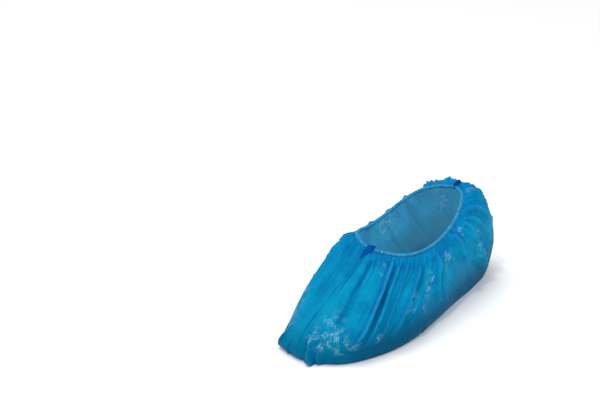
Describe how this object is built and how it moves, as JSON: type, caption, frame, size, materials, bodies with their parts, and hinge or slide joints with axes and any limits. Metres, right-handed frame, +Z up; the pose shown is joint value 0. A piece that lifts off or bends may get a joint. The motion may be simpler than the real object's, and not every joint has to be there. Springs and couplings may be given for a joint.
{
  "type": "disposable shoe cover",
  "caption": "Disposable blue film shoe cover in its worn shape, with an elastic gathered opening, welded toe and heel, and a flat sole.",
  "frame": {"origin": "on the floor, under the middle of the bounding box", "axes": "+Z up from the floor, -Y towards the toe, +X towards the outer side of the left foot"},
  "size_m": [0.1118, 0.3052, 0.1179],
  "materials": {
    "film": "thin translucent blue polyethylene film, finely embossed, glossy",
    "hem_film": "the same film, turned over the elastic and gathered",
    "welded_film": "several layers of the same film welded together",
    "elastic": "matt round elastic"
  },
  "bodies": {
    "root": {"film_body": "film", "hem_left": "hem_film", "hem_right": "hem_film", "elastic_left": "elastic", "elastic_right": "elastic", "toe_weld": "welded_film", "heel_weld": "welded_film", "front_tab": "welded_film", "heel_tab": "welded_film"}
  },
  "joints": []
}
